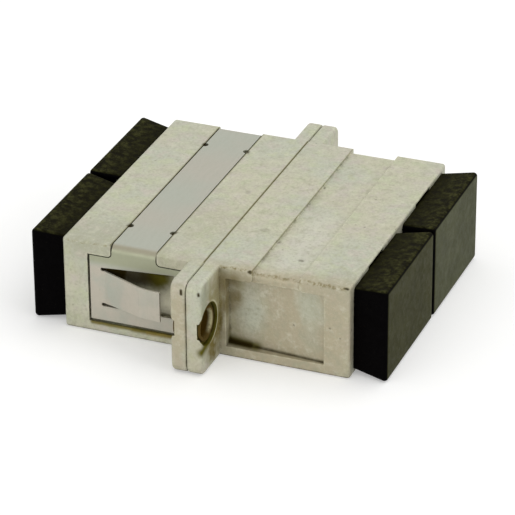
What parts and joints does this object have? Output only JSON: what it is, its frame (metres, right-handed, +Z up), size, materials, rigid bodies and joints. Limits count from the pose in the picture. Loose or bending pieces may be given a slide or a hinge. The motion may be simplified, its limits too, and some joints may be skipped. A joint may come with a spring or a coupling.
{
  "type": "sc fibre adapter",
  "caption": "Duplex fibre coupler in a flanged metal housing with a spring panel clip and pull-out dust caps, joining plugs from both ends.",
  "frame": {"origin": "centre of the underside, on the seam between the two castings", "axes": "+X along the fibre channels towards the end whose recess carries no clip, +Y across the flange ears, +Z up"},
  "size_m": [0.0338, 0.0346, 0.009],
  "materials": {
    "casting": "zinc die casting with matt nickel plating, fine cast grain",
    "spring_sheet": "satin rolled spring sheet",
    "rivet_metal": "brass tube rivet with worn nickel plating",
    "cap_plastic": "black moulded plastic",
    "holder_plastic": "natural moulded plastic",
    "zirconia": "polished white zirconia"
  },
  "bodies": {
    "adapter": {"housing_left": "casting", "housing_right": "casting", "panel_clip": "spring_sheet", "flange_rivet_front": "rivet_metal", "flange_rivet_rear": "rivet_metal", "latch_holder_left_front": "holder_plastic", "latch_holder_right_front": "holder_plastic", "latch_holder_left_rear": "holder_plastic", "latch_holder_right_rear": "holder_plastic", "alignment_sleeve_front": "zirconia", "alignment_sleeve_rear": "zirconia"},
    "cap_left_front": {"dust_cap_left_front": "cap_plastic"},
    "cap_left_rear": {"dust_cap_left_rear": "cap_plastic"},
    "cap_right_front": {"dust_cap_right_front": "cap_plastic"},
    "cap_right_rear": {"dust_cap_right_rear": "cap_plastic"}
  },
  "joints": [
    {"name": "cap_left_front_pull", "type": "slide", "parent": "adapter", "child": "cap_left_front", "axis": [-1, 0, 0], "range_m": [0, 0.012]},
    {"name": "cap_left_rear_pull", "type": "slide", "parent": "adapter", "child": "cap_left_rear", "axis": [-1, 0, 0], "range_m": [0, 0.012]},
    {"name": "cap_right_front_pull", "type": "slide", "parent": "adapter", "child": "cap_right_front", "axis": [1, 0, 0], "range_m": [0, 0.012]},
    {"name": "cap_right_rear_pull", "type": "slide", "parent": "adapter", "child": "cap_right_rear", "axis": [1, 0, 0], "range_m": [0, 0.012]}
  ]
}
